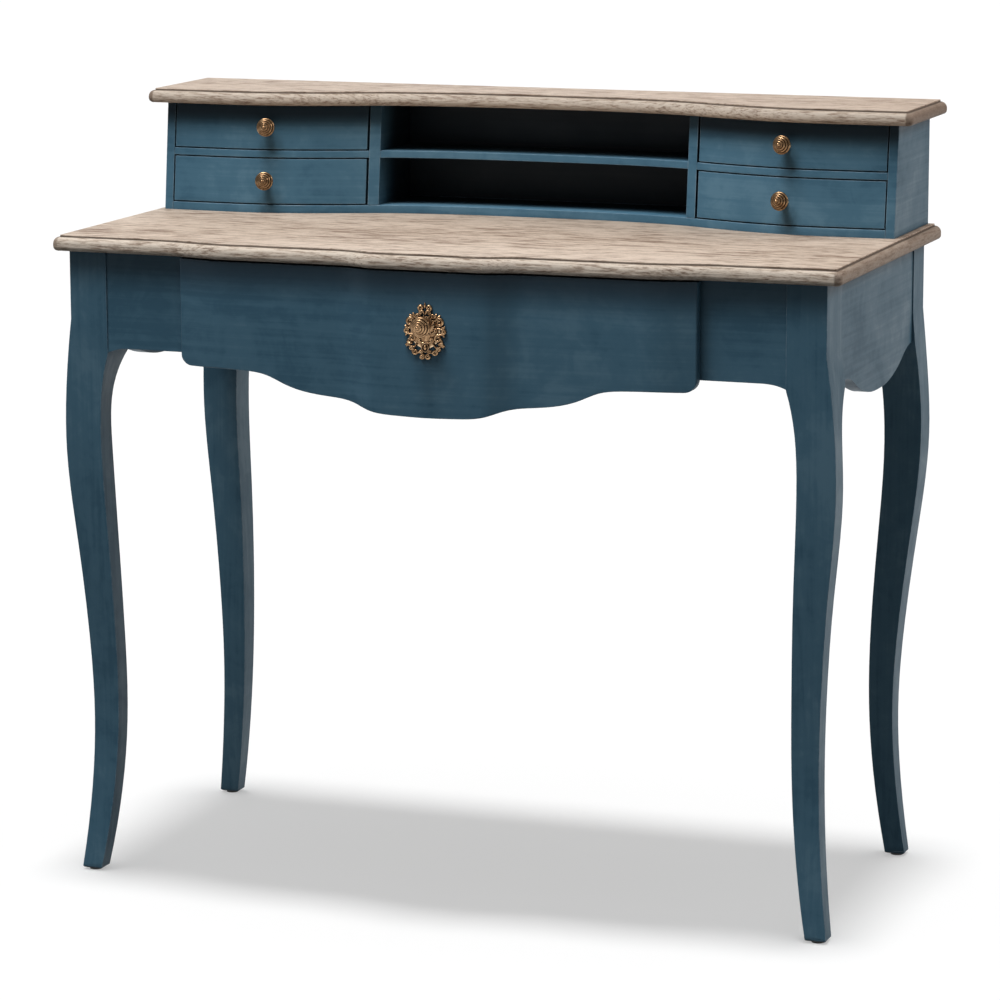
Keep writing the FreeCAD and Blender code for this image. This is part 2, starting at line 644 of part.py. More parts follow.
def plate_shape(face):
    """Oval plate with a round crest, flat on the middle of the wide drawer's front."""
    out = vec(0, -1, 0)
    oval = Part.Ellipse(vec(0, 0, 0), *PLATE_R).toShape()
    plate = Part.Face(Part.Wire([oval])).extrude(vec(0, 0, PLATE_T))
    flat = FreeCAD.Rotation(vec(0, 0, 1), out)
    upright = FreeCAD.Rotation(out, 90)
    plate.Placement = FreeCAD.Placement(vec(0, face, PLATE_Z), upright.multiply(flat))
    return plate.fuse(rod(CREST_R, PLATE_T, vec(0, face, CREST_Z), out)).removeSplitter()


def build_main_drawer(pieces):
    out = vec(0, -1, 0)
    face = main_face(0)
    depth = FRONT_BACK - face + PLATE_T
    foot = vec(0, FRONT_BACK, MAIN_KNOB_Z)
    hole = screw_hole(foot - out, out, depth + KNOB_BITE)
    inner = BOX_HALF - BOX_T
    back_y = BOX_BACK - BOX_T
    front = slab(front_plan(), (0, 0, TABLE_H)).common(slab(front_view(), (0, END_DEPTH, 0)))
    drawer_side = box(inner, BOX_HALF, FRONT_BACK, BOX_BACK, BOX_Z0, BOX_Z1)
    groove_z = BOX_Z0 + GROOVE
    pieces["drawer_front"] = front.cut(hole)
    for side in SIDES:
        pieces["drawer_" + side + "_side"] = on_side(drawer_side, side)
    pieces["drawer_back"] = box(-inner, inner, back_y, BOX_BACK, BOX_Z0, BOX_Z1)
    pieces["drawer_bottom"] = box(-inner, inner, FRONT_BACK, back_y, groove_z, groove_z + PLY_T)
    pieces["escutcheon"] = plate_shape(face).cut(hole)
    pieces["drawer_knob"] = place_on(knob_shape(MAIN_KNOB_SCALE), foot + out * depth, out)
    pieces["drawer_knob_screw"] = screw(foot, out, depth + KNOB_BITE)


def main():
    os.makedirs("parts", exist_ok=True)
    pieces = {}
    build_legs(pieces)
    build_rails(pieces)
    build_unit(pieces)
    build_boards(pieces)
    build_blocks(pieces)
    build_unit_screws(pieces)
    build_dowels(pieces)
    build_glides(pieces)
    build_main_drawer(pieces)
    z0 = TABLE_H + BASE_T
    z1 = TABLE_H + RAIL_Z
    for side in SIDES:
        build_small_drawer(pieces, "lower_" + side, side, z0, z1)
        build_small_drawer(pieces, "upper_" + side, side, z1 + RAIL_T, SHELF_Z0)
    for name, shape in pieces.items():
        export(shape, name)
    print(len(pieces), "pieces")


main()
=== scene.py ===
import json
from math import cos, pi, radians, sin

import bmesh
import bpy
from mathutils import Matrix, Vector


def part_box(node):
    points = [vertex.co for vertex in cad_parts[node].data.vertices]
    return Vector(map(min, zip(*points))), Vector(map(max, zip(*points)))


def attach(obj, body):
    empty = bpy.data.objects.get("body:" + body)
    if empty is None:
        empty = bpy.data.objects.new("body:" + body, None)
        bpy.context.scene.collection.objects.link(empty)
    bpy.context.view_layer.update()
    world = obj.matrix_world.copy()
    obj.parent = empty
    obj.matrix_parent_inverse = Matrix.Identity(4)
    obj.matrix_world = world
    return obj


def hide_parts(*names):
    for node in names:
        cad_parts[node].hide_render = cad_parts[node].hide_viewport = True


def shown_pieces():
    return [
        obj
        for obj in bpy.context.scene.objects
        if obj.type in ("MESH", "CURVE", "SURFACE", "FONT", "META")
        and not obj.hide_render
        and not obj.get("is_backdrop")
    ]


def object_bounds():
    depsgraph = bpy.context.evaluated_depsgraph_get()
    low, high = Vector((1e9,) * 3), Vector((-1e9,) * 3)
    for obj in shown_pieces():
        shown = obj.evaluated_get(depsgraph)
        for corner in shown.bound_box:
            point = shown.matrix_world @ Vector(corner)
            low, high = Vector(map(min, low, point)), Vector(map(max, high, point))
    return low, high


# Looks of a painted writing desk with an oak top, in metres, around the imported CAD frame.
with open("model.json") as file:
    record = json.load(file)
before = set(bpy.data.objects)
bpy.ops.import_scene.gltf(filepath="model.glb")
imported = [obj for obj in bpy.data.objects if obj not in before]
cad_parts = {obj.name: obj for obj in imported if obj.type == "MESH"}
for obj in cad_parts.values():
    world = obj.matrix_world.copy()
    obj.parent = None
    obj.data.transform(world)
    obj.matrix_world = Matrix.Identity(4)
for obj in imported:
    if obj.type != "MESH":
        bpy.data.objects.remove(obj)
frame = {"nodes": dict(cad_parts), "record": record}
CAD_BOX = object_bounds()

MM = 0.001

# ---- camera and light --------------------------------------------------------------------------
CAMERA_AT = (1.73261, -4.68597, 1.42725)
CAMERA_TURN = radians(20.19668)
CAMERA_TILT = radians(10.80864)
CAMERA_ROLL = radians(-0.156216)
CAMERA_LENS = 146.909
CAMERA_SENSOR = 36        # width of the sensor, mm
BACKDROP = 1.02           # strength of the white that only the camera sees
DOME_BELOW = 0.08
DOME_LEVEL = 0.11
DOME_ABOVE = 0.36
AIM_HEIGHT = 0.75         # the key and top boxes face the front of the desk at this height
KEY_FROM = Vector((-1.35, -1.25, 3.4))
KEY_SIZE = (1.3, 1.0)
KEY_ON_OAK = 136
KEY_ON_PAINT = 86
TOP_FROM = Vector((-0.40, -0.46, 3.3))
TOP_SIZE = (1.6, 0.7)
TOP_POWER = 150
FILL_SIZE = (1.4, 1.0)
FILL_BACK = 22
FILL_BACK_AT = (-1.2, 3.0, 2.6)
FILL_BACK_AIM = (0.0, 0.2, 0.7)
FILL_RIGHT = 34
FILL_RIGHT_AT = (2.3, 0.7, 2.3)
FILL_RIGHT_AIM = (0.4, 0.0, 0.8)
FILL_WARM = (1.0, 0.91, 0.86)
SUN_STRENGTH = 1.35
SUN_ANGLE = radians(9.5)
SHADE_LIFT = 1.25         # light that reaches the floor everywhere, even under the desk
FLOOR_HALF = 30.0
FLOOR_WHITE = (0.95, 0.95, 0.95)


def make_camera():
    back = Vector((sin(CAMERA_TURN) * cos(CAMERA_TILT), -cos(CAMERA_TURN) * cos(CAMERA_TILT),
                   sin(CAMERA_TILT)))
    level = Vector((cos(CAMERA_TURN), sin(CAMERA_TURN), 0))
    upright = back.cross(level)
    right = level * cos(CAMERA_ROLL) + upright * sin(CAMERA_ROLL)
    up = upright * cos(CAMERA_ROLL) - level * sin(CAMERA_ROLL)
    data = bpy.data.cameras.new("camera")
    data.lens = CAMERA_LENS
    data.sensor_width = CAMERA_SENSOR
    data.clip_end = 200
    camera = bpy.data.objects.new("camera", data)
    bpy.context.scene.collection.objects.link(camera)
    camera.matrix_world = Matrix.Translation(CAMERA_AT) @ Matrix((right, up, back)).transposed().to_4x4()
    bpy.context.scene.camera = camera


def make_world():
    """White behind everything, and a soft dome that is brightest overhead as the light."""
    world = bpy.data.worlds.new("studio")
    world.use_nodes = True
    bpy.context.scene.world = world
    nodes = world.node_tree.nodes
    links = world.node_tree.links
    nodes.clear()
    out = nodes.new("ShaderNodeOutputWorld")
    both = nodes.new("ShaderNodeMixShader")
    seen = nodes.new("ShaderNodeBackground")
    lit = nodes.new("ShaderNodeBackground")
    path = nodes.new("ShaderNodeLightPath")
    place = nodes.new("ShaderNodeTexCoord")
    split = nodes.new("ShaderNodeSeparateXYZ")
    height = nodes.new("ShaderNodeMapRange")
    dome = nodes.new("ShaderNodeValToRGB")
    height.inputs["From Min"].default_value = -1
    seen.inputs["Color"].default_value = (1, 1, 1, 1)
    seen.inputs["Strength"].default_value = BACKDROP
    ramp = dome.color_ramp
    stops = ((0.0, DOME_BELOW), (0.49, DOME_BELOW), (0.53, DOME_LEVEL), (1.0, DOME_ABOVE))
    for i, (at, value) in enumerate(stops):
        stop = ramp.elements[i] if i < 2 else ramp.elements.new(at)
        stop.position = at
        stop.color = (value, value, value, 1)
    links.new(place.outputs["Generated"], split.inputs[0])
    links.new(split.outputs["Z"], height.inputs["Value"])
    links.new(height.outputs[0], dome.inputs["Fac"])
    links.new(dome.outputs["Color"], lit.inputs["Color"])
    links.new(path.outputs["Is Camera Ray"], both.inputs["Fac"])
    links.new(lit.outputs[0], both.inputs[1])
    links.new(seen.outputs[0], both.inputs[2])
    links.new(both.outputs[0], out.inputs["Surface"])


def area_light(name, place, aim, size, power, lit, colour=(1, 1, 1)):
    """Soft box at place, facing aim, that lights only the objects in one collection."""
    data = bpy.data.lights.new(name, "AREA")
    data.shape = "RECTANGLE"
    data.size = size[0]
    data.size_y = size[1]
    data.energy = power
    data.color = colour
    light = bpy.data.objects.new(name, data)
    bpy.context.scene.collection.objects.link(light)
    light.location = place
    light.rotation_mode = "QUATERNION"
    light.rotation_quaternion = (Vector(aim) - Vector(place)).to_track_quat("-Z", "Y")
    light.light_linking.receiver_collection = lit


def make_lights(painted, plain, ground):
    """Painted pieces, all other pieces and the floor each have lights of their own.

    Painted pieces get a high key from the left and a box nearly overhead. Other pieces get a
    stronger key and no box overhead. Both kinds of piece get the same two fills. The floor gets two
    suns, and one of them casts no shadow. The dome lights everything."""
    aim = Vector((0, CAD_BOX[0].y, AIM_HEIGHT))
    area_light("key_on_oak", aim + KEY_FROM, aim, KEY_SIZE, KEY_ON_OAK, plain)
    area_light("key_on_paint", aim + KEY_FROM, aim, KEY_SIZE, KEY_ON_PAINT, painted)
    area_light("top_on_paint", aim + TOP_FROM, aim, TOP_SIZE, TOP_POWER, painted)
    for lit in (painted, plain):
        area_light("fill_back", FILL_BACK_AT, FILL_BACK_AIM, FILL_SIZE, FILL_BACK, lit)
        area_light("fill_right", FILL_RIGHT_AT, FILL_RIGHT_AIM, FILL_SIZE, FILL_RIGHT, lit, FILL_WARM)
    for name, strength, casts in (("overhead", SUN_STRENGTH, True), ("floor_lift", SHADE_LIFT, False)):
        data = bpy.data.lights.new(name, "SUN")
        data.energy = strength
        data.angle = SUN_ANGLE
        data.use_shadow = casts
        sun = bpy.data.objects.new(name, data)
        bpy.context.scene.collection.objects.link(sun)
        sun.location = (0, 0, 3)
        sun.light_linking.receiver_collection = ground


def make_floor():
    mesh = bpy.data.meshes.new("floor")
    h = FLOOR_HALF
    mesh.from_pydata([(-h, -h, 0), (h, -h, 0), (h, h, 0), (-h, h, 0)], [], [(0, 1, 2, 3)])
    floor = bpy.data.objects.new("floor", mesh)
    bpy.context.scene.collection.objects.link(floor)
    pale = Shader("pale_floor", FLOOR_WHITE, 0.9)
    pale.surface.inputs["Specular IOR Level"].default_value = 0
    mesh.materials.append(pale.material)
    floor.visible_diffuse = False
    floor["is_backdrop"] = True
    return floor


# ---- node materials ----------------------------------------------------------------------------
class Shader:
    """One procedural material, with a short method for each kind of node it uses."""

    def __init__(self, name, colour, roughness, metallic=0.0):
        self.material = bpy.data.materials.new(name)
        self.material.use_nodes = True
        self.tree = self.material.node_tree
        self.surface = self.tree.nodes["Principled BSDF"]
        self.surface.inputs["Base Color"].default_value = (*colour, 1)
        self.surface.inputs["Roughness"].default_value = roughness
        self.surface.inputs["Metallic"].default_value = metallic
        self.place = self.node("ShaderNodeTexCoord").outputs["Object"]

    def node(self, kind):
        return self.tree.nodes.new(kind)

    def join(self, value, socket):
        """Sets a socket to a number or colour, or links another node's output to it."""
        if isinstance(value, bpy.types.NodeSocket):
            self.tree.links.new(value, socket)
        elif isinstance(value, tuple) and len(value) == 3 and socket.type == "RGBA":
            socket.default_value = (*value, 1)
        else:
            socket.default_value = value

    def scaled(self, x, y, z, vector=None):
        n = self.node("ShaderNodeMapping")
        self.join(vector or self.place, n.inputs["Vector"])
        n.inputs["Scale"].default_value = (x, y, z)
        return n.outputs[0]

    def noise(self, vector, scale=1.0, detail=3.0, rough=0.55, bend=0.0):
        n = self.node("ShaderNodeTexNoise")
        self.join(vector, n.inputs["Vector"])
        n.inputs["Scale"].default_value = scale
        n.inputs["Detail"].default_value = detail
        n.inputs["Roughness"].default_value = rough
        n.inputs["Distortion"].default_value = bend
        return n.outputs["Fac"]

    def span(self, value, a, b, c=0.0, d=1.0):
        """Maps a..b to c..d with smooth, limited ends."""
        n = self.node("ShaderNodeMapRange")
        n.interpolation_type = "SMOOTHSTEP"
        self.join(value, n.inputs["Value"])
        for key, number in zip(("From Min", "From Max", "To Min", "To Max"), (a, b, c, d)):
            self.join(number, n.inputs[key])
        return n.outputs[0]

    def math(self, kind, a, b=0.0):
        n = self.node("ShaderNodeMath")
        n.operation = kind
        self.join(a, n.inputs[0])
        self.join(b, n.inputs[1])
        return n.outputs[0]

    def blend(self, *parts):
        """Sum of (value, share) pairs."""
        total = self.math("MULTIPLY", *parts[0])
        for value, share in parts[1:]:
            total = self.math("ADD", total, self.math("MULTIPLY", value, share))
        return total

    def mix(self, share, a, b):
        n = self.node("ShaderNodeMix")
        n.data_type = "RGBA"
        self.join(share, n.inputs["Factor"])
        self.join(a, n.inputs[6])
        self.join(b, n.inputs[7])
        return n.outputs[2]

    def axis(self, name, vector=None):
        n = self.node("ShaderNodeSeparateXYZ")
        self.join(vector or self.place, n.inputs[0])
        return n.outputs[name]

    def backward(self):
        """1 on faces that look straight back, -1 on faces that look straight forward."""
        return self.axis("Y", self.node("ShaderNodeNewGeometry").outputs["Normal"])

    def edges(self, radius):
        """1 near the edges of the piece, 0 elsewhere."""
        bevel = self.node("ShaderNodeBevel")
        bevel.samples = 4
        bevel.inputs["Radius"].default_value = radius
        dot = self.node("ShaderNodeVectorMath")
        dot.operation = "DOT_PRODUCT"
        self.join(bevel.outputs[0], dot.inputs[0])
        self.join(self.node("ShaderNodeNewGeometry").outputs["Normal"], dot.inputs[1])
        return self.span(dot.outputs["Value"], 0.995, 0.88)

    def hollows(self, reach):
        """1 in tight corners and recesses, 0 in the open."""
        n = self.node("ShaderNodeAmbientOcclusion")
        n.samples = 6
        n.inputs["Distance"].default_value = reach
        return self.math("SUBTRACT", 1.0, n.outputs["AO"])

    def bump(self, height, depth, strength=1.0, under=None):
        n = self.node("ShaderNodeBump")
        n.inputs["Strength"].default_value = strength
        n.inputs["Distance"].default_value = depth
        self.join(height, n.inputs["Height"])
        if under is not None:
            self.join(under, n.inputs["Normal"])
        return n.outputs[0]

    def finish(self, colour=None, rough=None, normal=None):
        for value, key in ((colour, "Base Color"), (rough, "Roughness"), (normal, "Normal")):
            if value is not None:
                self.join(value, self.surface.inputs[key])
        return self.material


PAINT_DEEP = (0.030, 0.084, 0.130)
PAINT_MAIN = (0.046, 0.112, 0.165)
PAINT_PALE = (0.068, 0.142, 0.198)
PAINT_WORN = (0.200, 0.270, 0.325)
# near-black of the painted shade in corners, in recesses and deep in the cubbies
SHADE_BLACK = (0.006, 0.009, 0.013)
# blue of the painted shadow under the tabletop and the top shelf
PAINTED_SHADOW_BLUE = (0.003, 0.013, 0.023)
SHADE_DEPTH = {"tabletop": 56 * MM, "top_shelf": 32 * MM}     # how far down the painted shade goes
SHADE_FULL = 10 * MM      # the shade is full within this distance below the board
CUBBY_HOLLOW = 20 * MM    # how far the cubbies' front edge curves back in the middle
CUBBY_DEEP = 62 * MM      # distance behind that edge where the cubbies are darkest
CUBBY_DARKEST = 0.92
PAINT_GLOSS = 0.22
# how far the painted shade in corners and recesses reaches
CORNER_SHADE_REACH = 30 * MM
PAINT_EDGE = 1.6 * MM


def paint(name, stretch, board, shade, shade_cubbies=False):
    """Chalky blue paint: faint brush strokes, cloudy patches, rubbed edges, painted shade in the corners.

    It has a painted shadow just under the named board, on faces that look forward, as strong as the given
    shade."""
    s = Shader(name, PAINT_MAIN, 0.5)
    s.surface.inputs["Specular IOR Level"].default_value = PAINT_GLOSS
    strokes = s.noise(s.scaled(*stretch), 1.0, 4.0, 0.6, 0.4)
    clouds = s.noise(s.place, 6.5, 4.0, 0.6, 0.8)
    mottle = s.noise(s.place, 30.0, 5.0, 0.66, 0.8)
    tone = s.blend((strokes, 0.26), (clouds, 0.50), (mottle, 0.24))
    colour = s.mix(s.span(tone, 0.39, 0.50), PAINT_DEEP, PAINT_MAIN)
    colour = s.mix(s.span(tone, 0.50, 0.61), colour, PAINT_PALE)
    specks = s.noise(s.place, 900.0, 2.0, 0.5)
    colour = s.mix(s.span(specks, 0.62, 0.78, 0.0, 0.08), colour, PAINT_WORN)
    # painted shade: near-black in corners and recesses, where shade falls
    corner_shade = s.span(s.hollows(CORNER_SHADE_REACH), 0.40, 0.92, 0.0, 0.85)
    colour = s.mix(corner_shade, colour, SHADE_BLACK)
    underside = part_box(board)[0].z
    # painted shadow just under the board, on faces that look forward
    below = s.span(s.axis("Z"), underside - SHADE_DEPTH[board], underside - SHADE_FULL, 0.0, shade)
    facing = s.math("MULTIPLY", s.backward(), -1.0)
    colour = s.mix(s.math("MULTIPLY", below, s.span(facing, 0.3, 0.9)), colour, PAINTED_SHADOW_BLUE)
    # painted shade deep inside the cubbies
    if shade_cubbies:
        colour = s.mix(cubby_painted_shade(s), colour, SHADE_BLACK)
    broken = s.span(s.noise(s.place, 70.0, 4.0, 0.7), 0.38, 0.62)
    worn = s.math("MULTIPLY", s.edges(PAINT_EDGE), s.math("ADD", s.math("MULTIPLY", broken, 0.7), 0.18))
    colour = s.mix(worn, colour, PAINT_WORN)
    rough = s.span(tone, 0.3, 0.7, 0.54, 0.40)
    normal = s.bump(strokes, 0.10 * MM, 0.35)
    normal = s.bump(specks, 0.05 * MM, 0.4, normal)
    return s.finish(colour, rough, normal)


def cubby_painted_shade(s):
    """Share of painted shade in the cubbies: 0 at their curved front edge and on faces that look back,
    CUBBY_DARKEST deep inside.
    """
    low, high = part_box("middle_shelf")
    across = s.math("DIVIDE", s.math("ABSOLUTE", s.axis("X")), high.x)
    curve = s.math("MULTIPLY", s.math("POWER", s.math("MINIMUM", across, 1.0), 3.0), CUBBY_HOLLOW)
    front = s.math("SUBTRACT", low.y + CUBBY_HOLLOW, curve)
    behind = s.math("SUBTRACT", s.axis("Y"), front)
    depth = s.span(behind, -2 * MM, CUBBY_DEEP, 0.0, CUBBY_DARKEST)
    return s.math("MULTIPLY", depth, s.span(s.backward(), 0.7, 0.3))


OAK_PALE = (0.62, 0.51, 0.415)
OAK_MAIN = (0.45, 0.355, 0.280)
OAK_BROWN = (0.225, 0.152, 0.108)
OAK_PORE = (0.11, 0.075, 0.052)
OAK_LIME = (0.74, 0.65, 0.55)
OAK_GLAZE_AND_CREASE = (0.070, 0.047, 0.032)
NOSE_BROWN = (0.16, 0.11, 0.078)
OAK_GLOSS = 0.28
GRAIN_DRIFT = 30 * MM     # how much the grain wanders sideways
NOSING_DROP = 2.0 * MM    # the moulding starts this far below the board's top
STEP_DROP = 2.2 * MM      # the small step's dark line is this far below the board's top


def oak(name, node, brown_and_shade):
    """Limed, wire-brushed oak: broken grain along the board, dark pores, rough mouldings.

    Its last argument says how much browner and darker the board is: partly less liming, partly painted
    shade."""
    low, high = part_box(node)
    s = Shader(name, OAK_MAIN, 0.62)
    s.surface.inputs["Specular IOR Level"].default_value = OAK_GLOSS
    drift = s.noise(s.scaled(2.0, 9, 9), 1.0, 3.0, 0.55)
    bent = s.node("ShaderNodeVectorMath")
    bent.operation = "ADD"
    push = s.node("ShaderNodeCombineXYZ")
    s.join(s.math("MULTIPLY", s.math("SUBTRACT", drift, 0.5), GRAIN_DRIFT), push.inputs["Y"])
    s.join(s.place, bent.inputs[0])
    s.join(push.outputs[0], bent.inputs[1])
    where = bent.outputs[0]
    bands = s.noise(s.scaled(24, 165, 165, where), 1.0, 4.0, 0.7)
    fibres = s.noise(s.scaled(30, 340, 340, where), 1.0, 5.0, 0.75)
    pores = s.noise(s.scaled(60, 520, 520, where), 1.0, 3.0, 0.6)
    patches = s.noise(s.scaled(5.0, 14, 14), 1.0, 4.0, 0.6)
    tone = s.blend((bands, 0.50), (fibres, 0.32), (patches, 0.18))
    colour = s.mix(s.span(tone, 0.415, 0.480), OAK_BROWN, OAK_MAIN)
    colour = s.mix(s.span(tone, 0.470, 0.535), colour, OAK_PALE)
    # browner and darker by the last argument: partly less liming, partly painted shade
    colour = s.mix(brown_and_shade, colour, OAK_BROWN)
    dark = s.span(pores, 0.56, 0.68, 0.0, 0.55)
    colour = s.mix(dark, colour, OAK_PORE)
    edge_z = high.z - NOSING_DROP
    moulding = s.span(s.axis("Z"), edge_z, edge_z - 0.8 * MM)
    side = s.span(s.math("ABSOLUTE", s.axis("X")), high.x - 10 * MM, high.x - 7 * MM)
    front_grain = s.noise(s.scaled(44, 400, 400), 1.0, 5.0, 0.75)
    side_grain = s.noise(s.scaled(420, 40, 420), 1.0, 5.0, 0.75)
    flecks = s.mix(side, front_grain, side_grain)
    blots = s.noise(s.place, 26.0, 4.0, 0.65)
    rubbed = s.blend((flecks, 0.84), (blots, 0.16))
    nosing = s.mix(s.span(rubbed, 0.36, 0.45), NOSE_BROWN, OAK_MAIN)
    nosing = s.mix(s.span(rubbed, 0.44, 0.53), nosing, OAK_LIME)
    nosing = s.mix(s.math("ADD", s.math("MULTIPLY", side, 0.70), brown_and_shade), nosing, NOSE_BROWN)
    colour = s.mix(s.math("MULTIPLY", moulding, 0.85), colour, nosing)
    step = s.span(s.math("ABSOLUTE", s.math("SUBTRACT", s.axis("Z"), high.z - STEP_DROP)),
                  0.9 * MM, 0.3 * MM, 0.0, 0.92)
    # the step's line is dark glaze; the oak is also darker in tight creases and corners
    glaze_and_creases = s.math("MAXIMUM", step, s.span(s.hollows(5 * MM), 0.12, 0.50, 0.0, 0.9))
    colour = s.mix(glaze_and_creases, colour, OAK_GLAZE_AND_CREASE)
    worn = s.math("MULTIPLY", s.edges(1.0 * MM), 0.30)
    colour = s.mix(worn, colour, OAK_PALE)
    rough = s.span(fibres, 0.3, 0.7, 0.72, 0.52)
    depth = s.math("SUBTRACT", fibres, s.math("MULTIPLY", dark, 0.5))
    normal = s.bump(depth, 0.35 * MM, 0.55)
    return s.finish(colour, rough, s.bump(s.math("MULTIPLY", flecks, moulding), 0.9 * MM, 0.7, normal))


BRASS_BROWN = (0.27, 0.155, 0.080)
BRASS_MAIN = (0.45, 0.29, 0.17)
BRASS_PALE = (0.52, 0.33, 0.18)
# bright ridges: partly rubbed metal, partly painted highlight
BRASS_BRIGHT = (0.98, 0.74, 0.48)
BRASS_BLACK = (0.020, 0.012, 0.008)


def brass(name):
    """Antique copper-brass, dark in the recesses, and bright on the ridges: partly rubbed metal, partly
    painted highlight.
    """
    s = Shader(name, BRASS_MAIN, 0.36, 1.0)
    stain = s.noise(s.place, 240.0, 4.0, 0.6)
    colour = s.mix(s.span(stain, 0.38, 0.62), BRASS_BROWN, BRASS_PALE)
    # bright ridges: partly rubbed metal, partly painted highlight
    colour = s.mix(s.math("MULTIPLY", s.edges(0.7 * MM), 0.8), colour, BRASS_BRIGHT)
    colour = s.mix(s.span(s.hollows(2.4 * MM), 0.10, 0.46, 0.0, 0.97), colour, BRASS_BLACK)
    rough = s.span(stain, 0.3, 0.7, 0.38, 0.24)
    return s.finish(colour, rough, s.bump(s.noise(s.place, 700.0, 3.0), 0.12 * MM, 0.35))


def raw_wood(name, pale, dark, stretch):
    """Plain unpainted wood of the drawer boxes and blocks."""
    s = Shader(name, pale, 0.6)
    grain = s.noise(s.scaled(*stretch), 1.0, 5.0, 0.6, 0.3)
    fine = s.noise(s.scaled(*(4 * v for v in stretch)), 1.0, 3.0, 0.6)
    colour = s.mix(s.span(grain, 0.36, 0.62), dark, pale)
    colour = s.mix(s.span(fine, 0.55, 0.75, 0.0, 0.35), colour, dark)
    return s.finish(colour, s.span(grain, 0.3, 0.7, 0.68, 0.52), s.bump(fine, 0.15 * MM, 0.4))


def plain_metal(name, colour, rough):
    s = Shader(name, colour, rough, 1.0)
    stain = s.noise(s.place, 320.0, 3.0)
    return s.finish(s.mix(s.span(stain, 0.3, 0.7), colour, tuple(0.7 * v for v in colour)),
                    s.span(stain, 0.3, 0.7, rough, rough + 0.15))


def nylon(name):
    s = Shader(name, (0.05, 0.05, 0.052), 0.5)
    fine = s.noise(s.place, 500.0)
    return s.finish(s.mix(s.span(fine, 0.3, 0.7), (0.04, 0.04, 0.042), (0.07, 0.07, 0.073)), None,
                    s.bump(fine, 0.1 * MM, 0.4))


ACROSS = (3.0, 3.0, 150.0)     # brush strokes along x and y
DOWN = (150.0, 150.0, 3.0)     # brush strokes along z


def make_materials():
    return {
        # The blue copies differ in brush direction and in how strong the painted shadow under their board
        # is; the cubby copy also has painted shade deep inside.
        "paint_across": paint("blue_paint_across", ACROSS, "tabletop", 0.60),
        "paint_down": paint("blue_paint_down", DOWN, "tabletop", 0.42),
        "paint_drawer": paint("blue_paint_drawer", ACROSS, "tabletop", 0.90),
        "paint_unit": paint("blue_paint_unit", ACROSS, "top_shelf", 0.98),
        "paint_cubby": paint("blue_paint_cubby", ACROSS, "top_shelf", 0.60, True),
        "oak_top": oak("limed_oak_top", "tabletop", 0.02),
        # The shelf's copy is browner and darker than the top's: partly less liming, partly painted shade.
        "oak_shelf": oak("limed_oak_shelf", "top_shelf", 0.22),
        "brass": brass("aged_brass_rubbed_and_highlit"),
        "box_wood": raw_wood("drawer_wood_box", (0.62, 0.47, 0.31), (0.47, 0.33, 0.20), (5, 5, 120)),
        "plywood": raw_wood("plywood_sheet", (0.66, 0.53, 0.37), (0.52, 0.38, 0.24), (4, 90, 90)),
        "zinc": plain_metal("zinc_steel_plain", (0.62, 0.62, 0.64), 0.35),
        "nylon": nylon("nylon_pad"),
    }


UNIT_NODES = ("upper_", "lower_")     # how the names of the small drawers' nodes start
CUBBY_BOARDS = ("middle_shelf", "unit_bottom_board", "left_divider", "right_divider",
                "unit_back_panel")


def material_key(node, slot):
    """Which material a CAD node gets, from its name and its slot in the record."""
    if slot == "limed_oak":
        return "oak_top" if node == "tabletop" else "oak_shelf"
    if slot == "blue_paint":
        if node == "drawer_front":
            return "paint_drawer"
        if node in CUBBY_BOARDS:
            return "paint_cubby"
        if node.startswith(UNIT_NODES) or node.endswith(("_unit_side", "_drawer_rail")):
            return "paint_unit"
        return "paint_down" if node.endswith("_leg") else "paint_across"
    return {"aged_brass": "brass", "drawer_wood": "box_wood", "plywood": "plywood",
            "zinc_steel": "zinc", "nylon": "nylon"}[slot]


# ---- CAD nodes ---------------------------------------------------------------------------------
SHARP_ANGLE = radians(35)
BEVEL_ANGLE = radians(38)
WELD_GAP = 0.002 * MM


def smooth_group():
    """Shades a mesh smooth except over edges sharper than SHARP_ANGLE."""
    group = bpy.data.node_groups.new("smooth_by_angle", "GeometryNodeTree")
    group.interface.new_socket("Mesh", in_out="INPUT", socket_type="NodeSocketGeometry")
    group.interface.new_socket("Mesh", in_out="OUTPUT", socket_type="NodeSocketGeometry")
    start = group.nodes.new("NodeGroupInput")
    end = group.nodes.new("NodeGroupOutput")
    angle = group.nodes.new("GeometryNodeInputMeshEdgeAngle")
    sharp = group.nodes.new("FunctionNodeCompare")
    sharp.data_type = "FLOAT"
    sharp.operation = "GREATER_THAN"
    sharp.inputs[1].default_value = SHARP_ANGLE
    normal = group.nodes.new("GeometryNodeSetMeshNormal")
    normal.mode = "SHARPNESS"
    group.links.new(start.outputs[0], normal.inputs["Mesh"])
    group.links.new(angle.outputs["Unsigned Angle"], sharp.inputs[0])
    group.links.new(sharp.outputs[0], normal.inputs["Edge Sharpness"])
    group.links.new(normal.outputs["Mesh"], end.inputs[0])
    return group


def ease_edges(obj, width, group):
    """Rounds the sharp edges of a CAD node with modifiers; its mesh stays as it is."""
    weld = obj.modifiers.new("weld", "WELD")
    weld.merge_threshold = WELD_GAP
    bevel = obj.modifiers.new("eased", "BEVEL")
    bevel.width = width
    bevel.segments = 2
    bevel.limit_method = "ANGLE"
    bevel.angle_limit = BEVEL_ANGLE
    bevel.use_clamp_overlap = False
    shade = obj.modifiers.new("shade", "NODES")
    shade.node_group = group
    weight = obj.modifiers.new("weighted", "WEIGHTED_NORMAL")
    weight.keep_sharp = True


EASED = {"blue_paint": 0.7 * MM, "drawer_wood": 0.5 * MM}     # width of the rounding, by slot
NOT_EASED = ("shelf_dowels", "corner_blocks")


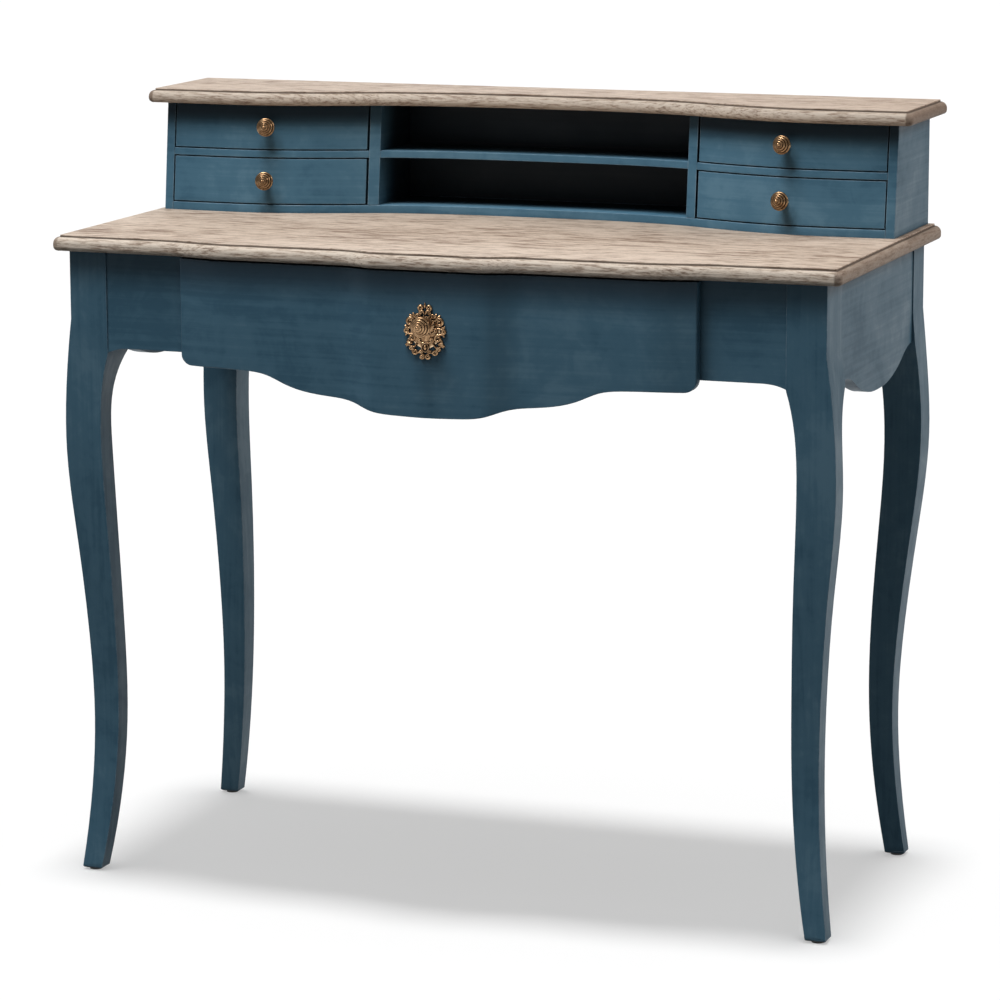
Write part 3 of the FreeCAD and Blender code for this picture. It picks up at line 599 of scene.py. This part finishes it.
def dress_nodes(materials):
    slots = {s["node"]: s["material_slot"] for s in frame["record"]["subparts"]}
    group = smooth_group()
    for node, obj in frame["nodes"].items():
        key = material_key(node, slots[node])
        for slot in obj.material_slots:
            slot.material = materials[key]
        width = EASED.get(slots[node])
        if width and node not in NOT_EASED:
            ease_edges(obj, width, group)


# ---- ornamental plate --------------------------------------------------------------------------
def smooth_path(points, per_span):
    """Catmull-Rom curve through the points."""
    ends = [points[0]] + list(points) + [points[-1]]
    made = []
    for i in range(1, len(ends) - 2):
        a, b, c, d = (Vector(p) for p in ends[i - 1:i + 3])
        for k in range(per_span):
            t = k / per_span
            made.append(0.5 * (2 * b + (c - a) * t + (2 * a - 5 * b + 4 * c - d) * t * t
                               + (3 * b - a - 3 * c + d) * t * t * t))
    made.append(Vector(points[-1]))
    return made


CURL_IN = 0.74     # share of its radius that a curl loses by its eye


def volute(centre, radius, start, turns, hand):
    """Points of a curl, from its outer end to its eye."""
    steps = max(6, int(16 * turns))
    points = []
    for i in range(steps + 1):
        t = i / steps
        a = radians(start) + hand * turns * 2 * pi * t
        r = radius * (1 - CURL_IN * t)
        points.append((centre[0] + r * cos(a), centre[1] + r * sin(a)))
    return points


def add_rod(bm, path, thick, lift, sides=10):
    """Tapered, slightly oval bar along a flat path in (across, up), lift above the plate's back."""
    rings = []
    last = len(path) - 1
    for i, p in enumerate(path):
        along = (path[min(i + 1, last)] - path[max(i - 1, 0)]).normalized()
        aside = Vector((-along.y, along.x))
        r = thick(i / last)
        ring = []
        for k in range(sides):
            a = 2 * pi * k / sides
            flat = p + aside * (r * cos(a))
            ring.append(bm.verts.new((flat.x, flat.y, lift + 1.15 * r * sin(a))))
        rings.append(ring)
    for lower, upper in zip(rings, rings[1:]):
        for k in range(sides):
            bm.faces.new((lower[k], lower[(k + 1) % sides], upper[(k + 1) % sides], upper[k]))
    bm.faces.new(rings[0][::-1])
    bm.faces.new(rings[-1])


def add_dome(bm, centre, rx, ry, height, base=0.0, sides=20, rings=6):
    """Half of a flattened ball, base above the plate's back plane, closed underneath."""
    loops = []
    for j in range(rings):
        a = pi / 2 * j / rings
        loop = []
        for k in range(sides):
            b = 2 * pi * k / sides
            loop.append(bm.verts.new((centre[0] + rx * cos(a) * cos(b), centre[1] + ry * cos(a) * sin(b),
                                      base + height * sin(a))))
        loops.append(loop)
    tip = bm.verts.new((centre[0], centre[1], base + height))
    for lower, upper in zip(loops, loops[1:]):
        for k in range(sides):
            bm.faces.new((lower[k], lower[(k + 1) % sides], upper[(k + 1) % sides], upper[k]))
    for k in range(sides):
        bm.faces.new((loops[-1][k], loops[-1][(k + 1) % sides], tip))
    bm.faces.new(loops[0][::-1])


def swell(thin, thick):
    """Bar radius that grows from a thin tip and slims again towards the eye."""
    return lambda t: thin + (thick - thin) * sin(pi * min(1.0, 0.12 + 0.78 * t))


FULLNESS = 1.32    # how much fatter the bars are than their listed radii
KNOB_UP = 6.1      # the knob's axis above the plate's middle, in mm
BAR_LIFT = 1.5     # the bars' middle above the plate's back, in mm
BEADS = 22
BEAD_RING = 11.2   # radius of the ring of beads, in mm
# Domes of the plate, in mm: middle, half width, half height, rise, and the boss's lift.
BOSS = ((0, -20.2), 2.5, 3.7, 3.0, 0.4)
CUP = ((0, KNOB_UP), 11.5, 11.5, 2.5)
# the sheet goes dark under the scrolls: partly a stand-in for shade, partly dark patina
SHEET = ((0, -2.0), 19.0, 20.0, 0.7)
# Right half of the plate's scrolls, in mm from its middle: stem points, then the curl's centre,
# radius, starting angle in degrees, turns and hand, and the bar's radius.
SCROLLS = (
    (((0.8, 19.5), (1.8, 22.4)), (4.9, 27.4), 3.7, -125, 1.2, 1, 1.25),
    (((0.9, 20.5), (2.2, 22.4)), (5.2, 21.3), 2.2, 140, 1.0, -1, 0.95),
    (((9.0, 7.0), (10.8, 12.0)), (18.3, 10.4), 5.3, 155, 1.25, -1, 1.5),
    (((14.5, 3.2), (18.0, 3.4)), (22.9, -0.6), 3.3, 115, 1.15, -1, 1.2),
    (((24.4, -6.6), (22.6, -3.6)), (16.6, -8.6), 4.6, 62, 1.25, 1, 1.4),
    (((23.6, -19.4), (20.2, -17.6)), (12.4, -25.4), 3.5, 60, 1.2, -1, 1.15),
    (((10.5, -15.0), (13.2, -19.4)), (17.0, -21.6), 2.6, 130, 1.0, -1, 1.0),
    (((9.4, -26.6), (6.4, -26.0)), (3.9, -31.0), 3.1, 100, 1.15, 1, 1.15),
    (((0.6, -14.2), (3.6, -14.6)), (8.4, -10.8), 3.0, -125, 1.2, 1, 1.25),
    (((5.0, 16.6), (6.4, 18.2)), (9.6, 17.2), 2.4, 130, 1.0, -1, 1.0),
    (((9.5, -3.0), (11.8, -1.2)), (13.2, 0.9), 2.3, -120, 1.1, 1, 1.0),
)
# Leaves: root, belly and tip of each blade, and its width.
LEAVES = (
    ((9.6, 15.4), (13.2, 17.6), (15.0, 21.4), 1.5),
    ((13.4, 14.8), (16.6, 16.4), (19.8, 19.4), 1.4),
    ((19.6, -9.6), (21.6, -13.6), (20.0, -17.4), 1.3),
    ((16.0, -15.4), (20.6, -15.6), (25.4, -18.0), 1.5),
    ((3.0, -26.4), (5.0, -24.4), (8.4, -23.6), 1.1),
    ((20.6, 4.2), (23.6, 4.4), (25.6, 6.4), 1.1),
)


def make_rosette(materials):
    """Scroll plate under the wide drawer's knob: open scrolls, with a thin sheet behind the middle that
    goes dark under them, partly a stand-in for shade and partly dark patina.
    """
    low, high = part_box("escutcheon")
    bm = bmesh.new()
    for side in (1, -1):
        for stem, centre, radius, start, turns, hand, thick in SCROLLS:
            points = list(stem) + volute(centre, radius, start, turns, hand)
            path = smooth_path([(side * u, v) for u, v in points], 2)
            add_rod(bm, path, swell(0.6, thick * FULLNESS), BAR_LIFT)
            eye = points[-1]
            add_dome(bm, (side * eye[0], eye[1]), 1.35, 1.35, 3.3, 0.0, 12, 4)
        for root, belly, tip, width in LEAVES:
            path = smooth_path([(side * u, v) for u, v in (root, belly, tip)], 6)
            add_rod(bm, path, lambda t, w=width: 0.2 + 1.2 * w * sin(pi * (0.1 + 0.88 * t)), BAR_LIFT)
        rim = [(0, -14.4), (3.0 * side, -16.8), (4.2 * side, -20.4), (2.8 * side, -24.0), (0, -25.6)]
        add_rod(bm, smooth_path(rim, 6), lambda t: 0.75, BAR_LIFT)
    add_rod(bm, smooth_path([(0, 27.0), (0, 30.6), (0, 33.4)], 6),
            lambda t: 0.2 + 1.2 * sin(pi * (0.15 + 0.8 * t)), BAR_LIFT)
    for dome in (BOSS, CUP, SHEET):
        add_dome(bm, *dome)
    for k in range(BEADS):
        a = 2 * pi * k / BEADS
        bead = (BEAD_RING * cos(a), KNOB_UP + BEAD_RING * sin(a))
        add_dome(bm, bead, 1.25, 1.25, 2.2, 0.0, 10, 4)
    middle = Vector(((low.x + high.x) / 2, high.y, (low.z + high.z) / 2))
    for v in bm.verts:
        v.co = middle + Vector((v.co.x, -v.co.z, v.co.y)) * MM
    bmesh.ops.recalc_face_normals(bm, faces=bm.faces)
    mesh = bpy.data.meshes.new("scroll_plate")
    bm.to_mesh(mesh)
    bm.free()
    mesh.shade_smooth()
    mesh.materials.append(materials["brass"])
    plate = bpy.data.objects.new("scroll_plate", mesh)
    bpy.context.scene.collection.objects.link(plate)
    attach(plate, "main_drawer")
    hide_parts("escutcheon")


# ---- the scene ---------------------------------------------------------------------------------
def collect(name, objects):
    group = bpy.data.collections.new(name)
    bpy.context.scene.collection.children.link(group)
    for obj in objects:
        group.objects.link(obj)
    return group


def main():
    bpy.context.scene.view_settings.view_transform = "Standard"
    make_camera()
    make_world()
    floor = make_floor()
    materials = make_materials()
    dress_nodes(materials)
    make_rosette(materials)
    painted = [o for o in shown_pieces() if any(m and m.name.startswith("blue") for m in o.data.materials)]
    plain = [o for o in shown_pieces() if o not in painted]
    make_lights(collect("painted", painted), collect("plain", plain), collect("ground", [floor]))


main()
